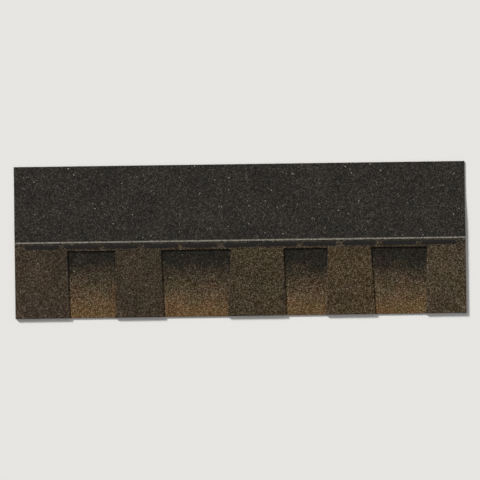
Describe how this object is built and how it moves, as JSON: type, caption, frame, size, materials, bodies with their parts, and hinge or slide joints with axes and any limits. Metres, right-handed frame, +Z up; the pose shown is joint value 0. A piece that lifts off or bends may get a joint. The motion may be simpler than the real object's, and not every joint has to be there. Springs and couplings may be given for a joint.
{
  "type": "laminated asphalt roof shingle",
  "caption": "Flat two-layer roof shingle with dovetail teeth along its butt edge over a granule-coated backer strip and dashes of sealant above them.",
  "frame": {"origin": "on the floor, under the middle of the shingle's outline", "axes": "+X along the shingle's length, +Y from the butt edge with its teeth towards the top edge, +Z up out of the granule face"},
  "size_m": [1, 0.337, 0.0063],
  "materials": {
    "front_granules": "coated asphalt sheet under mixed brown mineral granules, matt",
    "backer_granules": "coated asphalt sheet under granules that run from near black to tan gold, matt",
    "asphalt": "black asphalt adhesive, satin",
    "sealant": "black self-sealing asphalt, glossy",
    "film": "thin clear release film over black asphalt"
  },
  "bodies": {
    "root": {"front_sheet": "front_granules", "backer_strip": "backer_granules", "laminating_adhesive": "asphalt", "sealant_strip": "sealant", "release_film": "film"}
  },
  "joints": []
}
